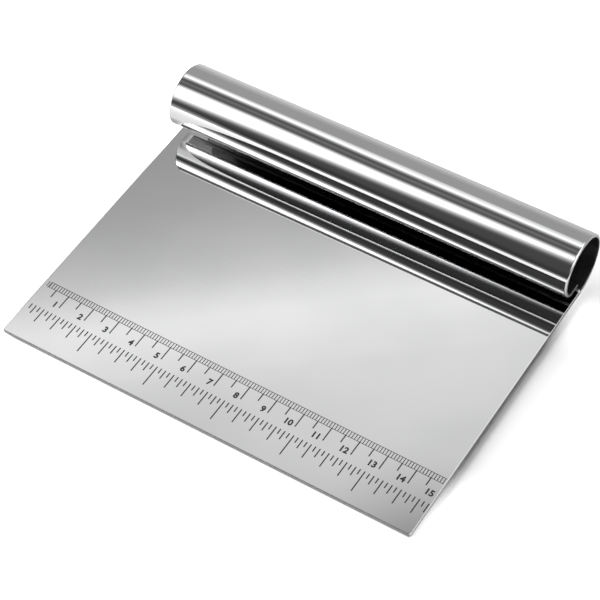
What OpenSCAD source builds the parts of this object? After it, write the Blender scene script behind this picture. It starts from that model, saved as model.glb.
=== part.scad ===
// Dough scraper of polished stainless steel sheet: a flat blade, and a hollow handle rolled
// from sheet and butt welded along the blade's back. It lies on its underside.
// X runs along the working edge, Y from that edge to the handle, and Z is up. The origin is
// on the resting plane, under the middle of the outline. All sizes are in millimetres.

/* [Overall] */
// Width along the working edge, the same for the blade and the handle
scraper_w = 150.4; // [100:0.1:200]
// Depth from the working edge to the back of the handle
scraper_d = 118.8; // [90:0.1:160]

/* [Sheet] */
// Thickness of the sheet that the blade and the handle are cut from
sheet_t = 1.2; // [0.8:0.1:1.5]
// Flat broken on every cut edge so that it doesn't cut the hand
edge_break = 0.15; // [0.1:0.05:0.3]
// Radius of the blade's two front corners, seen from above
corner_r = 1; // [0.4:0.1:8]

/* [Rolled handle] */
// Outside height of the roll, whose first turn rises tangent to the blade's underside
handle_h = 23.7; // [20:0.1:30]
// Outside radius of the curl that the roll tightens into
curl_r = 8.1; // [7:0.1:9.5]
// The curl starts on the radius that rises this much to the front
curl_rise = 7; // [4:1:12]
// in this much run
curl_run = 24; // [18:1:30]
// The curl turns through an angle that rises this much
curl_turn_rise = 24; // [18:1:30]
// in this much run
curl_turn_run = 7; // [5:1:12]
// Outside radius of the bend that lays the lip level over the blade
lip_bend_r = 2.2; // [1.8:0.1:3]
// Length of the level lip past its bend
lip_run = 4.1; // [2:0.1:6]

/* [Butt weld] */
// Width of the dressed weld between the blade and the roll
weld_w = 1.2; // [0.8:0.1:2]
// Height of the weld's crown, left on the inner side where no tool reaches
weld_crown = 0.12; // [0.05:0.01:0.25]

/* [Hidden] */
$fn = 180;

// Reach of a cutting or trimming shape past what it trims
overrun = 1;

front_y = -scraper_d / 2;

// The roll's axis: its back touches the depth, and its lowest line is the resting plane
roll_r = handle_h / 2;
roll_y = scraper_d / 2 - roll_r;
roll_z = roll_r;

// Where the roll starts, tightens and ends level, counted from the back over the top, and
// how far each of its turns goes
roll_start = -90;
curl_start = 180 - atan2(curl_rise, curl_run);
lip_level = 270;
first_turn = curl_start - roll_start;
curl_turn = atan2(curl_turn_rise, curl_turn_run);
lip_turn = lip_level - curl_start - curl_turn;

// Every turn is tangent to the one before, so its axis lies on the radius where it starts
curl_shift = roll_r - curl_r;
lip_shift = curl_r - lip_bend_r;

blade_end_y = roll_y - weld_w;

// A rectangle with its four corners broken, from low to high
function broken_strip(low, high) = [
    [low.x + edge_break, low.y], [high.x - edge_break, low.y],
    [high.x, low.y + edge_break], [high.x, high.y - edge_break],
    [high.x - edge_break, high.y], [low.x + edge_break, high.y],
    [low.x, high.y - edge_break], [low.x, low.y + edge_break]
];

// Draws a section given in Y and Z along the whole width
module along_width() {
    rotate([90, 0, 90])
        wide()
            children();
}

// Gives a flat section the whole width and a little more, upright about the origin
module wide() {
    linear_extrude(height = scraper_w + 2 * overrun, center = true)
        children();
}

// The sheet's cross section with broken edges, seen along Y, from y0 to y1
module sheet_band(y0, y1, high) {
    translate([0, y1, 0])
        rotate([90, 0, 0])
            linear_extrude(height = y1 - y0)
                polygon(broken_strip([-scraper_w / 2, 0], [scraper_w / 2, high]));
}

// A turned sheet's cross section with broken edges, as far from its axis as outer says
module bent_band(outer) {
    polygon(broken_strip([outer - sheet_t, -scraper_w / 2], [outer, scraper_w / 2]));
}

// The blade seen from above, with its two front corners rounded
module blade_outline() {
    side = scraper_w / 2 - corner_r;
    translate([-scraper_w / 2, front_y + corner_r])
        square([scraper_w, blade_end_y - front_y - corner_r]);
    translate([-side, front_y])
        square([2 * side, 2 * corner_r]);
    for (x = [-side, side])
        translate([x, front_y + corner_r])
            circle(corner_r);
}

// The blade from its side: a broken working edge in front, a square weld edge behind
module blade_section() {
    polygon([
        [front_y + edge_break, 0], [blade_end_y, 0], [blade_end_y, sheet_t],
        [front_y + edge_break, sheet_t], [front_y, sheet_t - edge_break], [front_y, edge_break]
    ]);
}

// The flat working sheet
module blade() {
    color("silver")
        intersection() {
            along_width()
                blade_section();
            sheet_band(front_y - overrun, blade_end_y + overrun, sheet_t);
            linear_extrude(height = sheet_t)
                blade_outline();
        }
}

// The weld that joins the blade's back edge to the root of the roll: flush with the
// underside, with a low round crown on the inner side
module seam_weld() {
    crown_r = (pow(weld_w / 2, 2) + pow(weld_crown, 2)) / (2 * weld_crown);
    color("lightgray")
        intersection() {
            along_width()
                intersection() {
                    translate([blade_end_y, 0])
                        square([weld_w, sheet_t + 2 * weld_crown]);
                    translate([blade_end_y + weld_w / 2, sheet_t + weld_crown - crown_r])
                        circle(crown_r);
                }
            sheet_band(blade_end_y - overrun, roll_y + overrun, sheet_t + weld_crown);
        }
}

// The two wedges that break the free lip's edges, as a section about the lip bend's axis
module lip_breaks() {
    inner = lip_bend_r - sheet_t;
    reach = edge_break + overrun;
    translate([0, lip_run]) {
        polygon([[lip_bend_r - reach, overrun], [lip_bend_r + overrun, overrun],
                 [lip_bend_r + overrun, -reach]]);
        polygon([[inner + reach, overrun], [inner - overrun, overrun], [inner - overrun, -reach]]);
    }
}

// The level lip, straight on from the end of its bend
module level_lip() {
    difference() {
        translate([0, lip_run, 0])
            rotate([90, 0, 0])
                linear_extrude(height = lip_run)
                    bent_band(lip_bend_r);
        wide()
            lip_breaks();
    }
}

// The handle: the first turn up from the weld, round the back and over the top, then the
// tighter curl down the front, and a sharp bend into a level lip that ends free above the
// blade. Each form is drawn from the line where it meets the one before
module handle_roll() {
    color("gainsboro")
        translate([0, roll_y, roll_z])
            rotate([90, 0, 90])
                rotate([0, 0, curl_start]) {
                    mirror([0, 1, 0])
                        rotate_extrude(angle = first_turn)
                            bent_band(roll_r);
                    translate([curl_shift, 0, 0]) {
                        rotate_extrude(angle = curl_turn)
                            bent_band(curl_r);
                        rotate([0, 0, curl_turn])
                            translate([lip_shift, 0, 0]) {
                                for (half = [0, 1])
                                    rotate([0, 0, half * lip_turn / 2])
                                        rotate_extrude(angle = lip_turn / 2)
                                            bent_band(lip_bend_r);
                                rotate([0, 0, lip_turn])
                                    level_lip();
                            }
                    }
                }
}

blade();
seam_weld();
handle_roll();
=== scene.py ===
import math

import bmesh
import bpy
from mathutils import Matrix, Vector


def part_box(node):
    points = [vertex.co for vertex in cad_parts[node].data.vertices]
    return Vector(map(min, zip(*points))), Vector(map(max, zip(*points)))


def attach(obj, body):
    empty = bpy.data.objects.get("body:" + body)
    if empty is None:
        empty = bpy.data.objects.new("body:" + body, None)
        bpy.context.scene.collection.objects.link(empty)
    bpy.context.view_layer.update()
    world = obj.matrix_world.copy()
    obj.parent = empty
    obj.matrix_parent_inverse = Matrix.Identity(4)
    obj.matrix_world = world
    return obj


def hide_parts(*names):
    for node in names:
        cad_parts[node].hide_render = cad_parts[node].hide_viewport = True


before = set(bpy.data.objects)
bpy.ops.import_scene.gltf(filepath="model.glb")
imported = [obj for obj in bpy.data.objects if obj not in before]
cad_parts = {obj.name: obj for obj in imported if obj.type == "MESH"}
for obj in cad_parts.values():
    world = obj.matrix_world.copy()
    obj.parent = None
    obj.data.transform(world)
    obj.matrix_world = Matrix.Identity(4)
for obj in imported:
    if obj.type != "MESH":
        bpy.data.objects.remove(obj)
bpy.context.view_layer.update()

# ------------------------------------------------------------------------------------------
# Blade. The flat working sheet, cut from stainless steel 1.2 mm thick and mirror polished.
# Tumbling has rounded its cut edges, its two front corners are eased, and its back edge is
# left square for the butt weld.

blade_low, blade_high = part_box("blade")
sheet_t = blade_high.z - blade_low.z
blade_corner_r = 0.001
blade_corner_steps = 10
tumbled_r = 0.00028
tumbled_steps = 6
smooth_below = math.radians(35)
merge_within = 1e-8
flat_face_weight = 100

steel_pale = (0.7, 0.7, 0.703, 1)
steel_deep = (0.655, 0.657, 0.662, 1)
# painted shade: the dark colour of the band along the working edge stands in for the dark its face
# mirrors
edge_shade_steel = (0.27, 0.27, 0.275, 1)
edge_shade_depth = 0.00035
blade_lines = (12, 900, 900)
blade_line_bump = 0.04
line_depth = 0.00002
cloud_scale, cloud_range = 26, (0.3, 0.7)
haze_scale = 90
blade_rough, blade_lines_rough, haze_rough, edge_shade_rough = 0.012, 0.014, 0.01, 0.3


class Wire:
    """One socket of a node tree. Sums written on it add Math nodes to that tree."""

    def __init__(self, tree, socket):
        self.tree, self.socket = tree, socket

    def __getitem__(self, name):
        return Wire(self.tree, self.socket.node.outputs[name])

    def math(self, operation, *terms):
        return self.tree.node("ShaderNodeMath", {"operation": operation}, dict(enumerate(terms)))

    def __add__(self, other):
        return self.math("ADD", self, other)

    def __sub__(self, other):
        return self.math("SUBTRACT", self, other)

    def __rsub__(self, other):
        return self.math("SUBTRACT", other, self)

    def __mul__(self, other):
        return self.math("MULTIPLY", self, other)

    def __truediv__(self, other):
        return self.math("DIVIDE", self, other)

    def __lt__(self, other):
        return self.math("LESS_THAN", self, other)

    def __gt__(self, other):
        return self.math("GREATER_THAN", self, other)

    def __mod__(self, other):
        return self.math("MODULO", self, other)

    __radd__ = __add__
    __rmul__ = __mul__

    def root(self):
        return self.math("SQRT", self)

    def sine(self):
        return self.math("SINE", self)

    def cosine(self):
        return self.math("COSINE", self)

    def up_to(self, limit):
        return self.math("MINIMUM", self, limit)

    def at_least(self, limit):
        return self.math("MAXIMUM", self, limit)

    def step_over(self, low, high):
        """0 below low and 1 above high, with a soft step between."""
        return self.tree.node("ShaderNodeMapRange", {"interpolation_type": "SMOOTHSTEP"}, {
            "Value": self, "From Min": low, "From Max": high})


class Tree:
    """A shader, world or geometry node tree, with one way to add any node to it."""

    def __init__(self, nodes_of):
        self.tree = nodes_of

    def node(self, kind, settings=None, values=None):
        """Adds a node with its settings, then its sockets' values or links. Gives its output."""
        made = self.tree.nodes.new(kind)
        for name, setting in (settings or {}).items():
            if name == "stops":
                self.set_stops(made.color_ramp, setting)
            else:
                setattr(made, name, setting)
        for name, value in (values or {}).items():
            if isinstance(value, Wire):
                self.tree.links.new(value.socket, made.inputs[name])
            else:
                made.inputs[name].default_value = value
        return Wire(self, next(o for o in made.outputs if o.enabled) if made.outputs else None)

    def set_stops(self, ramp, stops):
        while len(ramp.elements) < len(stops):
            ramp.elements.new(1)
        for element, (place, tone) in zip(ramp.elements, stops):
            element.position = place
            element.color = (tone, tone, tone, 1)

    def blend(self, factor, first, second):
        """The first colour where the factor is 0, the second where it is 1."""
        mixed = self.node("ShaderNodeMix", {"data_type": "RGBA"}, {0: factor, 6: first, 7: second})
        return Wire(self, mixed.socket.node.outputs[2])

    def noise(self, place, scale, detail=3, stretch=(1, 1, 1)):
        spread = self.node("ShaderNodeMapping", {}, {"Vector": place, "Scale": stretch})
        return self.node("ShaderNodeTexNoise", {}, {"Vector": spread, "Scale": scale,
                                                    "Detail": detail})["Fac"]


def new_finish(name):
    """A material with its empty Principled surface, and the tree that feeds it."""
    finish = bpy.data.materials.new(name)
    finish.use_nodes = True
    surface = finish.node_tree.nodes["Principled BSDF"]
    return finish, Tree(finish.node_tree), surface


def feed(tree, surface, **sockets):
    """Sets or links the surface's sockets. _ stands for the space in a socket's name."""
    for name, value in sockets.items():
        socket = surface.inputs[name.replace("_", " ")]
        if isinstance(value, Wire):
            tree.tree.links.new(value.socket, socket)
        else:
            socket.default_value = value


def mesh_piece(name, mesh, finish):
    """A finished piece: normals out, smooth faces that keep their flats flat, one material."""
    shell = bmesh.new()
    shell.from_mesh(mesh)
    bmesh.ops.remove_doubles(shell, verts=shell.verts, dist=merge_within)
    bmesh.ops.recalc_face_normals(shell, faces=shell.faces)
    for face in shell.faces:
        face.smooth = True
    shell.to_mesh(mesh)
    shell.free()
    mesh.set_sharp_from_angle(angle=smooth_below)
    draft = bpy.data.objects.new(name + "_draft", mesh)
    bpy.context.scene.collection.objects.link(draft)
    weighted = draft.modifiers.new("flats", "WEIGHTED_NORMAL")
    weighted.keep_sharp = True
    weighted.weight = flat_face_weight
    piece = bpy.data.objects.new(name, baked(draft))
    bpy.context.scene.collection.objects.link(piece)
    bpy.data.objects.remove(draft)
    piece.data.name = name
    piece.data.materials.clear()
    piece.data.materials.append(finish)
    return piece


def baked(draft):
    """The draft's mesh as its modifiers leave it."""
    graph = bpy.context.evaluated_depsgraph_get()
    return bpy.data.meshes.new_from_object(draft.evaluated_get(graph), depsgraph=graph)


def arc(middle, radius, start, end, steps):
    """Points on a round corner from start to end, in degrees."""
    turns = [math.radians(start + (end - start) * k / steps) for k in range(steps + 1)]
    return [(middle[0] + radius * math.cos(t), middle[1] + radius * math.sin(t)) for t in turns]


def blade_outline(inset):
    """The blade from above, drawn in by inset at its free edges but not at the weld."""
    left, right = blade_low.x + inset, blade_high.x - inset
    front, back = blade_low.y + inset, blade_high.y
    r = blade_corner_r - inset
    return [(left, back),
            *arc((left + r, front + r), r, 180, 270, blade_corner_steps),
            *arc((right - r, front + r), r, 270, 360, blade_corner_steps),
            (right, back)]


def rounded_levels(low, high, radius, steps):
    """(height, inset) pairs that round the lower and the upper edge of a sheet."""
    turns = [math.radians(90 * k / steps) for k in range(steps + 1)]
    lower = [(low + radius * (1 - math.cos(t)), radius * (1 - math.sin(t))) for t in turns]
    upper = [(high - (z - low), inset) for z, inset in reversed(lower)]
    return lower + upper


def stack_rings(shell, rings):
    """Closes a stack of equal rings of points into a solid with a flat top and bottom."""
    rows = [[shell.verts.new(p) for p in ring] for ring in rings]
    for low, high in zip(rows, rows[1:]):
        for k in range(len(low)):
            n = (k + 1) % len(low)
            shell.faces.new((low[k], low[n], high[n], high[k]))
    shell.faces.new(list(reversed(rows[0])))
    shell.faces.new(rows[-1])


def mesh_from(shell, name):
    """A mesh of what was built, which is then let go."""
    mesh = bpy.data.meshes.new(name)
    shell.to_mesh(mesh)
    shell.free()
    return mesh


def object_place(tree):
    """The pattern lies in the object's own place."""
    return tree.node("ShaderNodeTexCoord")["Object"]


# mirror polish: fine lines left by the wheel, clouds in its tone, and a haze that comes and
# goes. Along the working edge the colour is darkened, as painted shade for the dark that its
# face mirrors, and the edge is rougher.
blade_finish, shades, surface = new_finish("polished_blade_steel")
place = object_place(shades)
lines = shades.noise(place, 1, 4, blade_lines)
clouds = shades.noise(place, cloud_scale, 2)
haze = shades.noise(place, haze_scale, 4)
from_front = shades.node("ShaderNodeSeparateXYZ", {}, {0: place})["Y"] - blade_low.y
# painted shade: 1 on the band along the working edge, where the colour is darkened
edge_shade = 1 - from_front.step_over(edge_shade_depth * 0.5, edge_shade_depth)
polished = shades.blend(clouds.step_over(*cloud_range), steel_deep, steel_pale)
feed(shades, surface, Metallic=1.0, Base_Color=shades.blend(edge_shade, polished, edge_shade_steel),
     Roughness=(blade_rough + lines * blade_lines_rough + haze * haze_rough
                + edge_shade * edge_shade_rough),
     Normal=shades.node("ShaderNodeBump", {}, {
         "Height": lines, "Strength": blade_line_bump, "Distance": line_depth}))

shell = bmesh.new()
stack_rings(shell, [[(x, y, z) for x, y in blade_outline(inset)]
                    for z, inset in rounded_levels(0, sheet_t, tumbled_r, tumbled_steps)])
blade = mesh_piece("blade_sheet", mesh_from(shell, "blade_sheet"), blade_finish)
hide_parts("blade")
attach(blade, "root")

# ------------------------------------------------------------------------------------------
# Seam weld. A butt weld joins the blade's back edge to the root of the roll. It is dressed
# flush underneath, and its low crown is left above, inside the roll, where no wheel reaches.

weld_low, weld_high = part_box("seam_weld")
weld_crown = weld_high.z - sheet_t
weld_stations = 300
weld_steps = 10
ripple_pitch = 0.0014
ripple_share = 0.3
weld_pale, weld_dark = (0.56, 0.555, 0.55, 1), (0.48, 0.465, 0.45, 1)
weld_grain_scale, weld_grain_bump, weld_grain_depth = 900, 0.2, 0.00003
weld_tint_scale, weld_tint_stretch, weld_tint_range = 60, (1, 0.2, 0.2), (0.35, 0.75)
weld_rough, weld_grain_rough = 0.28, 0.2

weld_finish, tree, surface = new_finish("dressed_weld_steel")
place = object_place(tree)
grain = tree.noise(place, weld_grain_scale, 4)
tint = tree.noise(place, weld_tint_scale, 2, weld_tint_stretch)
feed(tree, surface, Metallic=1.0, Roughness=weld_rough + grain * weld_grain_rough,
     Base_Color=tree.blend(tint.step_over(*weld_tint_range), weld_pale, weld_dark),
     Normal=tree.node("ShaderNodeBump", {}, {
         "Height": grain, "Strength": weld_grain_bump, "Distance": weld_grain_depth}))

shell = bmesh.new()
rings = []
for k in range(weld_stations + 1):
    x = weld_low.x + (weld_high.x - weld_low.x) * k / weld_stations
    ripple = 1 - ripple_share * (0.5 + 0.5 * math.cos(2 * math.pi * x / ripple_pitch))
    at_end = min(x - weld_low.x, weld_high.x - x)
    ease = tumbled_r - math.sqrt(max(tumbled_r ** 2 - max(tumbled_r - at_end, 0) ** 2, 0))
    top = []
    for j in range(weld_steps + 1):
        share = j / weld_steps
        crown = weld_crown * ripple * (1 - (2 * share - 1) ** 2)
        y = weld_low.y + (weld_high.y - weld_low.y) * share
        top.append((x, y, sheet_t + crown - ease))
    rings.append([(x, weld_high.y, ease), (x, weld_low.y, ease)] + top)
stack_rings(shell, rings)
weld = mesh_piece("weld_bead", mesh_from(shell, "weld_bead"), weld_finish)
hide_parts("seam_weld")
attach(weld, "root")

# ------------------------------------------------------------------------------------------
# Handle roll. A strip of the same sheet, polished outside and left as milled inside, where its
# colour is also darkened as painted shade in the hollow. It is rolled up from the weld, round
# the back and over the top, tightens into a curl, and ends in a level lip, free above the
# blade. The node tree rolls a flat blank as the machine does.

roll_low, roll_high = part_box("handle_roll")
roll_r = (roll_high.z - roll_low.z) / 2
curl_r = 0.0081
lip_bend_r = 0.0022
lip_run = 0.0041
roll_start = math.radians(-90)
curl_rise, curl_run = 7, 24
curl_turn_rise, curl_turn_run = 24, 7
curl_start = math.pi - math.atan2(curl_rise, curl_run)
curl_turn = math.atan2(curl_turn_rise, curl_turn_run)
lip_level = math.radians(270)
end_round_r = 0.0007
just_past = 1e-6
# the inside's colour: milled steel, darkened as painted shade in the roll's hollow
milled_shaded_steel = (0.16, 0.16, 0.163, 1)
# where the milled inside, with its painted shade, ends, as shares of the sheet's thickness
# from its middle
milled_shade_full, milled_shade_ends = -0.45, -0.3
roll_lines, roll_line_bump = (10, 1500, 900), 0.06
roll_rough, roll_lines_rough, milled_rough = 0.015, 0.03, 0.25
roll_stations = 480
lip_stations = 12
lip_edge_steps = 8


def geometry_tree(name, sizes):
    """A Geometry Nodes group that makes a mesh from named sizes, and its group input."""
    group = bpy.data.node_groups.new(name, "GeometryNodeTree")
    for size, kind in sizes.items():
        group.interface.new_socket(size, in_out="INPUT", socket_type=kind)
    group.interface.new_socket("Mesh", in_out="OUTPUT", socket_type="NodeSocketGeometry")
    tree = Tree(group)
    return tree, tree.node("NodeGroupInput")


def finish_tree(tree, geometry, inputs):
    """Ends a tree in real geometry that carries the material."""
    real = tree.node("GeometryNodeRealizeInstances", {}, {"Geometry": geometry})
    dressed = tree.node("GeometryNodeSetMaterial", {}, {"Geometry": real,
                                                        "Material": inputs["Finish"]})
    tree.node("NodeGroupOutput", {}, {"Mesh": dressed})


def grown(tree, name, sizes):
    """The mesh that a tree makes from its sizes."""
    draft = bpy.data.objects.new(name + "_draft", bpy.data.meshes.new(name + "_draft"))
    bpy.context.scene.collection.objects.link(draft)
    made = draft.modifiers.new(name, "NODES")
    made.node_group = tree.tree
    for item in tree.tree.interface.items_tree:
        if item.in_out == "INPUT":
            made[item.identifier] = sizes[item.name]
    mesh = baked(draft)
    draft.modifiers.remove(made)
    bpy.data.objects.remove(draft)
    return mesh


number, count, material = "NodeSocketFloat", "NodeSocketInt", "NodeSocketMaterial"
tree, sizes = geometry_tree("rolled_sheet", {
    "Width": number, "Sheet": number, "Rounding": number, "Outer rounding": number,
    "Roll radius": number, "Curl radius": number, "Lip bend radius": number,
    "Lip length": number, "Roll start": number, "First turn": number, "Curl turn": number,
    "Lip turn": number, "Axis Y": number, "Axis Z": number, "Stations": count,
    "Lip stations": count, "Lip edge steps": count, "Finish": material})

# three turns on ever smaller radii, taken on the middle of the sheet, then the level lip
first_r, curl_mid_r, lip_mid_r = (
    sizes[name] - sizes["Sheet"] * 0.5
    for name in ("Roll radius", "Curl radius", "Lip bend radius"))
two_turns = sizes["First turn"] + sizes["Curl turn"]
level_length = sizes["Lip length"] - sizes["Rounding"]

# stations at even steps of the turn, then along the lip, then round its edge
index = tree.node("GeometryNodeInputIndex")
turned = (index / sizes["Stations"]).up_to(1) * (two_turns + sizes["Lip turn"])
past_turns = (index - sizes["Stations"]).at_least(0)
past_lip = (past_turns - sizes["Lip stations"]).at_least(0)
quarter = past_lip / sizes["Lip edge steps"] * (math.pi / 2)
level = ((past_turns / sizes["Lip stations"]).up_to(1) * level_length
         + quarter.sine() * sizes["Rounding"])
run = (turned.up_to(sizes["First turn"]) * first_r
       + (turned - sizes["First turn"]).at_least(0).up_to(sizes["Curl turn"]) * curl_mid_r
       + (turned - two_turns).at_least(0) * lip_mid_r + level)
line = tree.node("GeometryNodeCurvePrimitiveLine")
line = tree.node("GeometryNodeResampleCurve", {"mode": "COUNT"}, {
    "Curve": line,
    "Count": sizes["Stations"] + sizes["Lip stations"] + sizes["Lip edge steps"] + 1})
line = tree.node("GeometryNodeSetPosition", {}, {
    "Geometry": line, "Position": tree.node("ShaderNodeCombineXYZ", {}, {"Z": run})})


def store(tree, geometry, name, value):
    """The geometry, with a value kept on each of its points."""
    return tree.node("GeometryNodeStoreNamedAttribute", {
        "data_type": "FLOAT", "domain": "POINT"}, {
        "Geometry": geometry, "Name": name, "Value": value})


def stored(tree, name):
    """The value that was kept on each point."""
    return tree.node("GeometryNodeInputNamedAttribute", {"data_type": "FLOAT"}, {"Name": name})


for name, value in (("run", run), ("turned", turned), ("level", level)):
    line = store(tree, line, name, value)

# the sheet's cut section: its corners are rounded, the outer ones more by the buffing wheel
section = tree.node("GeometryNodeCurvePrimitiveQuadrilateral", {}, {
    "Width": sizes["Width"], "Height": sizes["Sheet"]})
corner = tree.node("ShaderNodeSeparateXYZ", {}, {0: tree.node("GeometryNodeInputPosition")})
outer_side = corner["Y"] > 0
section = tree.node("GeometryNodeFilletCurve", {"mode": "POLY"}, {
    "Curve": section, "Count": tumbled_steps, "Limit Radius": True,
    "Radius": sizes["Rounding"] + (sizes["Outer rounding"] - sizes["Rounding"]) * outer_side})
place = tree.node("ShaderNodeSeparateXYZ", {}, {0: tree.node("GeometryNodeInputPosition")})
section = store(tree, section, "across", place["X"])
section = store(tree, section, "through", place["Y"])
blank = tree.node("GeometryNodeCurveToMesh", {}, {
    "Curve": line, "Profile Curve": section, "Fill Caps": True})

run, turned, level, across, through = (
    stored(tree, name) for name in ("run", "turned", "level", "across", "through"))
edge_part = (level - level_length).at_least(0) / sizes["Rounding"]
drawn_in = sizes["Rounding"] * (1 - (1 - edge_part * edge_part).at_least(0).root())
across = across * (1 - drawn_in * 2 / sizes["Width"])
through = through * (1 - drawn_in * 2 / sizes["Sheet"])

# rolling: each turn's axis lies on the line where the turn before it ends
in_curl = turned > sizes["First turn"] + just_past
in_bend = turned > two_turns + just_past
curl_from = sizes["Roll start"] + sizes["First turn"]
bend_from = sizes["Roll start"] + two_turns
angle = sizes["Roll start"] + turned
radius = first_r + (curl_mid_r - first_r) * in_curl + (lip_mid_r - curl_mid_r) * in_bend + through
curl_shift = (sizes["Roll radius"] - sizes["Curl radius"]) * in_curl
bend_shift = (sizes["Curl radius"] - sizes["Lip bend radius"]) * in_bend

rolled_y = (sizes["Axis Y"] + curl_shift * curl_from.cosine() + bend_shift * bend_from.cosine()
            + radius * angle.cosine() - level * angle.sine())
rolled_z = (sizes["Axis Z"] + curl_shift * curl_from.sine() + bend_shift * bend_from.sine()
            + radius * angle.sine() + level * angle.cosine())
rolled = tree.node("GeometryNodeStoreNamedAttribute", {
    "data_type": "FLOAT_VECTOR", "domain": "POINT"}, {
    "Geometry": blank, "Name": "blank_place",
    "Value": tree.node("ShaderNodeCombineXYZ", {}, {"X": across, "Y": run, "Z": through})})
rolled = tree.node("GeometryNodeSetPosition", {}, {
    "Geometry": rolled, "Position": tree.node("ShaderNodeCombineXYZ", {}, {
        "X": across, "Y": rolled_y, "Z": rolled_z})})
finish_tree(tree, rolled, sizes)


def blank_place(tree):
    """The pattern follows the sheet as it lay before it was rolled."""
    return tree.node("ShaderNodeAttribute", {"attribute_name": "blank_place"})["Vector"]


roll_finish, shades, surface = new_finish("rolled_handle_steel")
place = blank_place(shades)
lines = shades.noise(place, 1, 4, roll_lines)
clouds = shades.noise(place, cloud_scale, 2)
haze = shades.noise(place, haze_scale, 4)
depth = shades.node("ShaderNodeSeparateXYZ", {}, {0: place})["Z"]
# inside the roll the finish is milled and rougher, and its colour is painted dark as shade
inside = 1 - depth.step_over(sheet_t * milled_shade_full, sheet_t * milled_shade_ends)
outer_tone = shades.blend(clouds.step_over(*cloud_range), steel_deep, steel_pale)
feed(shades, surface, Metallic=1.0,
     Base_Color=shades.blend(inside, outer_tone, milled_shaded_steel),
     Roughness=(roll_rough + lines * roll_lines_rough + haze * haze_rough
                + inside * milled_rough),
     Normal=shades.node("ShaderNodeBump", {}, {
         "Height": lines, "Strength": roll_line_bump, "Distance": line_depth}))

roll_mesh = grown(tree, "handle_tube", {
    "Width": roll_high.x - roll_low.x, "Sheet": sheet_t, "Rounding": tumbled_r,
    "Outer rounding": end_round_r, "Roll radius": roll_r, "Curl radius": curl_r,
    "Lip bend radius": lip_bend_r, "Lip length": lip_run, "Roll start": roll_start,
    "First turn": curl_start - roll_start, "Curl turn": curl_turn,
    "Lip turn": lip_level - curl_start - curl_turn, "Axis Y": roll_high.y - roll_r,
    "Axis Z": roll_r, "Stations": roll_stations, "Lip stations": lip_stations,
    "Lip edge steps": lip_edge_steps, "Finish": roll_finish})
handle = mesh_piece("handle_tube", roll_mesh, roll_finish)
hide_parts("handle_roll")
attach(handle, "root")

# ------------------------------------------------------------------------------------------
# Scale marks. An inch row and a centimetre row along the working edge, etched dark into the
# blade and numbered 1 to 15 in centimetres. They lie a very little out of square.

scale_zero_x = blade_low.x + 0.00045
scale_turn = math.radians(-0.4)
mark_t = 0.00002
tick_w = 0.0004
fine_tick_w = 0.00026
inch, centimetre = 0.0254, 0.01
inch_row_y = 0.0129
inch_tick_count, inch_steps = 94, (2, 4, 16)
inch_lengths = (0.0021, 0.0035, 0.0056, 0.0081)
cm_row_y = 0.0232
mm_tick_count, mm_steps, mm_length = 149, (5, 10, 10), 0.0021
half_cm_tick_count, half_cm_steps = 29, (2, 2, 2)
half_cm_lengths = (0.003, 0.0053, 0.0053, 0.0053)
rule_w = 0.00017
rule_start_x, rule_end_gap = 0.0018, 0.0006
end_bar_share = 1.2
last_number = 15
digit_h = 0.0022
digit_row_y = 0.0163
digit_gap = 0.0012
digit_swell = 0.00013
font_height_share = 0.72
font_curve_steps = 3
etched_black, etched_grey = (0.012, 0.012, 0.014, 1), (0.04, 0.04, 0.043, 1)
etch_scale, etch_rough, etch_grain_rough = 2400, 0.5, 0.2

marks_finish, shades, surface = new_finish("etched_marks")
grain = shades.noise(object_place(shades), etch_scale, 4)
feed(shades, surface, Metallic=0.0, Roughness=etch_rough + grain * etch_grain_rough,
     Base_Color=shades.blend(grain.step_over(*cloud_range), etched_black, etched_grey))

# every tick hangs from its row's line towards the front. Its number in the row says which
# of four lengths it has.
tree, sizes = geometry_tree("tick_row", {
    "Count": count, "Pitch": number, "Line width": number, "Line depth": number,
    "Second step": count, "Third step": count, "Fourth step": count, "First length": number,
    "Second length": number, "Third length": number, "Fourth length": number,
    "Finish": material})
points = tree.node("GeometryNodeMeshLine", {"mode": "OFFSET"}, {
    "Count": sizes["Count"],
    "Start Location": tree.node("ShaderNodeCombineXYZ", {}, {"X": sizes["Pitch"]}),
    "Offset": tree.node("ShaderNodeCombineXYZ", {}, {"X": sizes["Pitch"]})})
tick_number = tree.node("GeometryNodeInputIndex") + 1
length = sizes["First length"]
for step in ("Second", "Third", "Fourth"):
    on_step = tick_number % sizes[step + " step"] < 0.5
    length = length + (sizes[step + " length"] - length) * on_step
tick = tree.node("GeometryNodeMeshCube", {}, {
    "Size": tree.node("ShaderNodeCombineXYZ", {}, {
        "X": sizes["Line width"], "Y": 1.0, "Z": sizes["Line depth"]})})
tick = tree.node("GeometryNodeTransform", {}, {
    "Geometry": tick, "Translation": tree.node("ShaderNodeCombineXYZ", {}, {
        "Y": -0.5, "Z": sizes["Line depth"] * 0.5})})
row = tree.node("GeometryNodeInstanceOnPoints", {}, {
    "Points": points, "Instance": tick,
    "Scale": tree.node("ShaderNodeCombineXYZ", {}, {"X": 1.0, "Y": length, "Z": 1.0})})
finish_tree(tree, row, sizes)

marks_middle = Vector((0, blade_low.y + inch_row_y, sheet_t))
scale_place = (Matrix.Translation(marks_middle) @ Matrix.Rotation(scale_turn, 4, "Z")
               @ Matrix.Translation(Vector((scale_zero_x, -inch_row_y, 0))))


def mark_piece(name, mesh):
    """Lays flat marks on the blade and fixes them to it."""
    mesh.transform(scale_place)
    piece = mesh_piece(name, mesh, marks_finish)
    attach(piece, "root")
    return piece


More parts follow.
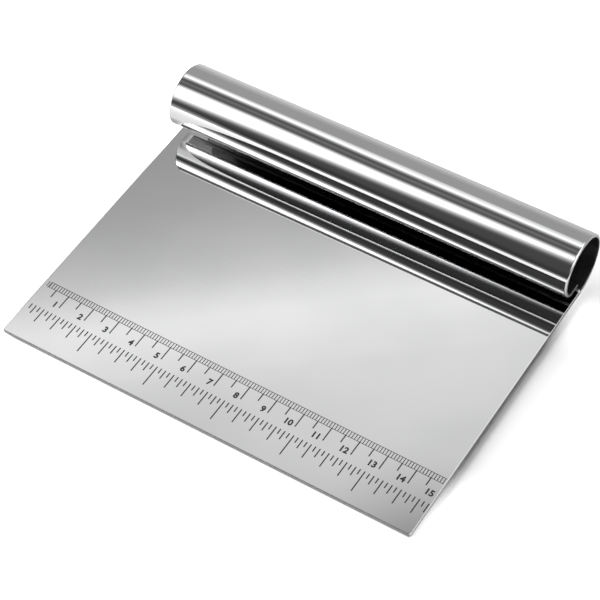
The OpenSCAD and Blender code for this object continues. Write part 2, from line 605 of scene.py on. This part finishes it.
def tick_row(name, ticks, pitch, line_w, steps, lengths, y):
    """A row of ticks below its line at y. Ticks on the second step have the second length,
    and so on."""
    mesh = grown(tree, name, {
        "Count": ticks, "Pitch": pitch, "Line width": line_w, "Line depth": mark_t,
        "Second step": steps[0], "Third step": steps[1], "Fourth step": steps[2],
        "First length": lengths[0], "Second length": lengths[1], "Third length": lengths[2],
        "Fourth length": lengths[3], "Finish": marks_finish})
    mesh.transform(Matrix.Translation((0, y, 0)))
    return mark_piece(name, mesh)


tick_row("inch_ticks", inch_tick_count, inch / 16, tick_w, inch_steps, inch_lengths, inch_row_y)
tick_row("millimetre_ticks", mm_tick_count, centimetre / 10, fine_tick_w, mm_steps,
         (mm_length,) * 4, cm_row_y)
tick_row("centimetre_ticks", half_cm_tick_count, centimetre / 2, tick_w, half_cm_steps,
         half_cm_lengths, cm_row_y - mm_length)


def flat_bar(shell, x0, x1, y0, y1):
    """A straight mark as thick as all the marks are."""
    ring = [(x0, y0), (x1, y0), (x1, y1), (x0, y1)]
    stack_rings(shell, [[(x, y, z) for x, y in ring] for z in (0, mark_t)])


# two thin rules enclose the millimetre ticks, and a short bar closes them on the left
shell = bmesh.new()
rule_end_x = blade_high.x - scale_zero_x - rule_end_gap
for y in (cm_row_y, cm_row_y - mm_length):
    flat_bar(shell, rule_start_x, rule_end_x, y - rule_w / 2, y + rule_w / 2)
flat_bar(shell, rule_start_x - rule_w, rule_start_x,
         cm_row_y - mm_length * end_bar_share, cm_row_y)
mark_piece("millimetre_rules", mesh_from(shell, "millimetre_rules"))

shell = bmesh.new()
for value in range(1, last_number + 1):
    letters = bpy.data.curves.new("number", "FONT")
    letters.body = str(value)
    letters.size = digit_h / font_height_share
    letters.align_x, letters.align_y = "RIGHT", "CENTER"
    letters.offset = digit_swell
    letters.extrude = mark_t / 2
    letters.resolution_u = font_curve_steps
    draft = bpy.data.objects.new("number", letters)
    bpy.context.scene.collection.objects.link(draft)
    number_mesh = baked(draft)
    number_mesh.transform(Matrix.Translation(
        (value * centimetre - digit_gap, digit_row_y, mark_t / 2)))
    shell.from_mesh(number_mesh)
    bpy.data.objects.remove(draft)
mark_piece("centimetre_numbers", mesh_from(shell, "centimetre_numbers"))

# ------------------------------------------------------------------------------------------
# Studio. A pale floor that fades into white, and soft boxes as the steel sees them: a grey
# wall behind, a narrow strip overhead, a broad soft box high in front, and dark below it. A
# dark gauze hangs low over the blade, and a low lamp on the left casts the shadow, which the
# floor's material deepens with painted shade.

floor_half = 4.0
floor_drop = 0.00005
floor_tone = 0.8
floor_to_camera = 0.7
floor_to_steel = 0.35
front_floor_ends = (-0.1, 0.05)
# behind the roll, the floor that the steel sees is painted darker as shade
back_floor_starts = (0.05, 0.12)
back_floor_dims = 0.25

# patches of the floor, as where their left, right, front and back sides fade: painted shadow
# to the right of the blade, on top of the lamp's, and painted shade that the steel sees beside
# the roll's left end
shadow_patch = ((0.06, 0.075), (0.078, 0.1), (-0.054, -0.026), (0.02, 0.045))
shadow_takes = 0.67
roll_end_patch = ((-0.1, -0.088), (-0.078, -0.0755), (0.024, 0.034), (0.056, 0.066))
roll_end_dims = 0.5

# the thin soft line of shade, painted in the floor's colour and light, where the blade's left
# and front edges meet the floor
left_line_fades = (0.0005, 0.0014)
front_line_fades = (-0.0002, 0.0007)
line_ends_right = (0.0745, 0.0757)
line_ends_back = (0.02, 0.036)
line_corner_x, line_corner_y = (-0.076, -0.07), (-0.056, -0.044)
line_dims = 0.65


def stage_sheet(name, finish_name, half, middle):
    """A flat square sheet of the studio, and the empty tree of its own material."""
    shell = bmesh.new()
    bmesh.ops.create_grid(shell, x_segments=1, y_segments=1, size=half)
    bmesh.ops.translate(shell, verts=shell.verts, vec=middle)
    sheet = bpy.data.objects.new(name, mesh_from(shell, name))
    finish = bpy.data.materials.new(finish_name)
    finish.use_nodes = True
    finish.node_tree.nodes.clear()
    sheet.data.materials.append(finish)
    bpy.context.scene.collection.objects.link(sheet)
    return sheet, Tree(finish.node_tree)


def patch(spot, left, right, front, back):
    """1 on a patch of the floor and 0 off it."""
    return (spot["X"].step_over(*left) * (1 - spot["X"].step_over(*right))
            * spot["Y"].step_over(*front) * (1 - spot["Y"].step_over(*back)))


studio_floor, shades = stage_sheet("studio_floor", "pale_floor", floor_half, (0, 0, -floor_drop))
rays = shades.node("ShaderNodeLightPath")
steel_sees = rays["Is Glossy Ray"].at_least(rays["Is Transmission Ray"])
spot = shades.node("ShaderNodeSeparateXYZ", {}, {0: object_place(shades)})
left_gap = (spot["X"] * -1 + blade_low.x).at_least(0)
front_gap = (spot["Y"] * -1 + blade_low.y).at_least(0)
# painted shade: the floor's colour and its camera light dip along the blade's left and front edges
edge_line = ((1 - left_gap.step_over(*left_line_fades))
             * (1 - front_gap.step_over(*front_line_fades))
             * (1 - spot["X"].step_over(*line_ends_right))
             * (1 - spot["Y"].step_over(*line_ends_back))
             * spot["X"].step_over(*line_corner_x).at_least(spot["Y"].step_over(*line_corner_y)))
# painted shade that only the steel sees, beside the roll's left end and behind the roll
at_roll_end = steel_sees * patch(spot, *roll_end_patch) * roll_end_dims
behind = steel_sees * spot["Y"].step_over(*back_floor_starts) * back_floor_dims
# painted shadow: the light that only the camera sees is taken down to the right of the blade
to_camera = (rays["Is Camera Ray"] * (1 - edge_line)
             * (floor_to_camera - patch(spot, *shadow_patch) * shadow_takes))
to_steel = (steel_sees * (1 - at_roll_end) * floor_to_steel
            * (1 - spot["Y"].step_over(*front_floor_ends)))
matt = shades.node("ShaderNodeBsdfDiffuse", {}, {
    "Color": (1 - edge_line * line_dims) * (1 - behind) * (1 - at_roll_end) * floor_tone})
lift = shades.node("ShaderNodeEmission", {}, {"Color": (1, 1, 1, 1),
                                              "Strength": to_camera + to_steel})
both = shades.node("ShaderNodeAddShader", {}, {0: matt, 1: lift})
shades.node("ShaderNodeOutputMaterial", {}, {"Surface": both})

# The gauze is denser to the front right, and only the steel sees it. It is laid out by the
# spot on the blade, blade_x and blade_y, where each part of it shows in the picture. slant
# is the angle of the studio, in degrees, that this spot mirrors.
gauze_half = 0.11
gauze_z = 0.035
gauze_glow = 0.06
gauze_fades_right, gauze_fades_front = (0.066, 0.108), (-0.108, -0.045)
mirrored_x, mirrored_y, mirrored_scale = 0.0158, -0.0223, 1.0637
slant_in_middle, slant_by_x, slant_by_y = 56.66, 51.2, -65
spread_from, spread_by_degree, most_spread = 58.7, 0.097, 0.6
corner_x, corner_y = (0.041, 0.084), (-0.07, -0.026)
corner_cover = 0.55
# past this angle, the bands overhead lie some degrees lower on the left
kink, kink_degrees = (58.5, 61), 4
kink_fades_x = (-0.03, 0.03)

gauze, shades = stage_sheet("gauze", "dark_gauze", gauze_half, (0, 0, gauze_z))
spot = shades.node("ShaderNodeSeparateXYZ", {}, {0: object_place(shades)})
blade_x = (spot["X"] + mirrored_x) / mirrored_scale
blade_y = (spot["Y"] + mirrored_y) / mirrored_scale
slant = blade_x * slant_by_x + blade_y * slant_by_y + slant_in_middle
slant = slant + (slant.step_over(*kink) * (1 - blade_x.step_over(*kink_fades_x))
                 * kink_degrees)
spread = ((slant - spread_from) * spread_by_degree).at_least(0).up_to(most_spread)
corner = blade_x.step_over(*corner_x) * (1 - blade_y.step_over(*corner_y)) * corner_cover
cover = ((1 - (1 - spread) * (1 - corner)) * (1 - spot["X"].step_over(*gauze_fades_right))
         * spot["Y"].step_over(*gauze_fades_front))
woven = shades.node("ShaderNodeMixShader", {}, {
    0: cover, 1: shades.node("ShaderNodeBsdfTransparent"),
    2: shades.node("ShaderNodeEmission", {}, {"Color": (1, 1, 1, 1), "Strength": gauze_glow})})
shades.node("ShaderNodeOutputMaterial", {}, {"Surface": woven})
gauze.visible_camera = gauze.visible_diffuse = gauze.visible_shadow = False

# What stands round the object: a tone at each angle in degrees, from the level behind, over
# the top, to the level in front. side says how far to the right it stands, and lean slopes
# the bands to either side. Only the steel sees it: the camera sees plain white.
brightest = 4.5
overhead_stops = (
    (0, 0.61), (13, 0.5), (17, 0.445), (47, 0.445), (51, 0.455), (52.3, 0.49), (53.8, 0.6),
    (54.9, 0.735), (55.6, 0.86), (56.2, 1.04), (57, 1.18), (57.8, 1.13), (58.8, 1.0),
    (60.5, 1.1), (62, 1.22), (63.4, 1.34), (64.7, 1.48), (65.5, 1.6), (70.5, 1.6),
    (72.6, 0.95), (75, 0.58), (78.6, 0.28), (81.5, 0.12), (84, 0.115), (91, 0.22),
    (98, 0.125), (101, 0.15), (103, 0.28), (105, 0.6), (108, 1.0), (111, 1.5), (117, 4.5))
front_stops = (
    (120, 4.5), (126, 2.7), (130, 1.55), (134, 0.97), (137.5, 0.6), (142, 0.26), (146, 0.13),
    (150, 0.088), (180, 0.088))
straight_side, least_lean, most_lean = -0.39, -0.2, 0.3
overhead_lean, front_lean = 34, 126
kink_fades_side = (-0.46, -0.36)
low_front, low_front_dims = (156, 172), 0.5
glow_starts, glow_start_moves, glow_moves_at, glow_full = 163, 9, (-0.5, -0.44), 181
glow_tone = 0.7
right_box_tone = 1.6
right_box_side, right_box_back, right_box_front = (0.05, 0.4), (48, 72), (120, 165)
left_wall_side, left_wall_tone = (0.75, 1.8), 0.42
dark_left_side, dark_left_keeps = (-0.78, -0.56), 0.08
# the plain light that falls on all that isn't steel, most of it from the left
floor_light_way, floor_light, floor_light_around = (0.25, 0.6), 2.2, 0.08

world = bpy.data.worlds.new("soft_studio")
world.use_nodes = True
world.node_tree.nodes.clear()
bpy.context.scene.world = world
shades = Tree(world.node_tree)


def tone_at(tree, angle, stops):
    """The tone at an angle, as a share of the brightest."""
    return tree.node("ShaderNodeValToRGB", {
        "stops": [(stop / 180, tone / brightest) for stop, tone in stops]}, {"Fac": angle / 180})


way = shades.node("ShaderNodeSeparateXYZ", {}, {0: shades.node("ShaderNodeTexCoord")["Generated"]})
angle = way["Z"].math("ARCTAN2", way["Z"], way["Y"]) * math.degrees(1)
side = way["X"] / (way["Y"] * way["Y"] + way["Z"] * way["Z"]).root()
lean = (side - straight_side).at_least(least_lean).up_to(most_lean)
overhead = angle + lean * overhead_lean
overhead = overhead + (overhead.step_over(*kink) * (1 - side.step_over(*kink_fades_side))
                       * kink_degrees)
studio = tone_at(shades, overhead, overhead_stops).up_to(
    tone_at(shades, angle + lean * front_lean, front_stops)) * brightest
glow_from = side.step_over(*glow_moves_at) * glow_start_moves + glow_starts
glow = ((angle - glow_from) / (glow_full - glow_from)).at_least(0)
studio = studio * (1 - angle.step_over(*low_front) * low_front_dims) + glow * glow * glow_tone
right_box = (side.step_over(*right_box_side) * angle.step_over(*right_box_back)
             * (1 - angle.step_over(*right_box_front)) * right_box_tone)
left_wall = (side * -1).step_over(*left_wall_side) * left_wall_tone
dark_left = side.step_over(*dark_left_side) * (1 - dark_left_keeps) + dark_left_keeps
studio = studio * dark_left + right_box + left_wall
to_floor = (way["X"] * -1).step_over(*floor_light_way) * floor_light + floor_light_around
rays = shades.node("ShaderNodeLightPath")
seen_plain = rays["Is Camera Ray"]
steel_sees = rays["Is Glossy Ray"]
strength = seen_plain + (1 - seen_plain) * (steel_sees * studio + (1 - steel_sees) * to_floor)
shades.node("ShaderNodeOutputWorld", {}, {"Surface": shades.node("ShaderNodeBackground", {}, {
    "Color": (1, 1, 1, 1), "Strength": strength})})

lamp_from = Vector((-1.4, -0.5, 0.55))
lamp_w, lamp_h = 1.2, 0.5
lamp_power = 48
lamp_data = bpy.data.lights.new("soft_box", "AREA")
lamp_data.shape = "RECTANGLE"
lamp_data.size, lamp_data.size_y = lamp_w, lamp_h
lamp_data.energy = lamp_power
lamp = bpy.data.objects.new("soft_box", lamp_data)
lamp.matrix_world = (Matrix.Translation(lamp_from)
                     @ lamp_from.to_track_quat("Z", "Y").to_matrix().to_4x4())
lamp.visible_glossy = False
bpy.context.scene.collection.objects.link(lamp)

# ------------------------------------------------------------------------------------------
# Camera. It looks down on the scraper from the front right, turned a little on its axis.

aim = Vector((-0.00042, -0.00043, 0))
film_w, lens = 36, 128.22
nearest, farthest = 0.05, 20
camera_distance = 0.6834
camera_azimuth = math.radians(35.414)
camera_elevation = math.radians(51.193)
camera_roll = math.radians(-3.873)
camera_data = bpy.data.cameras.new("camera")
camera_data.sensor_width = film_w
camera_data.lens = lens
camera_data.clip_start, camera_data.clip_end = nearest, farthest
back = Vector((math.cos(camera_elevation) * math.sin(camera_azimuth),
               -math.cos(camera_elevation) * math.cos(camera_azimuth),
               math.sin(camera_elevation)))
level = Vector((math.cos(camera_azimuth), math.sin(camera_azimuth), 0))
upright = back.cross(level)
turned = Matrix((level, upright, back)).transposed() @ Matrix.Rotation(camera_roll, 3, "Z")
camera = bpy.data.objects.new("camera", camera_data)
camera.matrix_world = Matrix.Translation(aim + back * camera_distance) @ turned.to_4x4()
bpy.context.scene.collection.objects.link(camera)
bpy.context.scene.camera = camera
bpy.context.scene.view_settings.view_transform = "Standard"
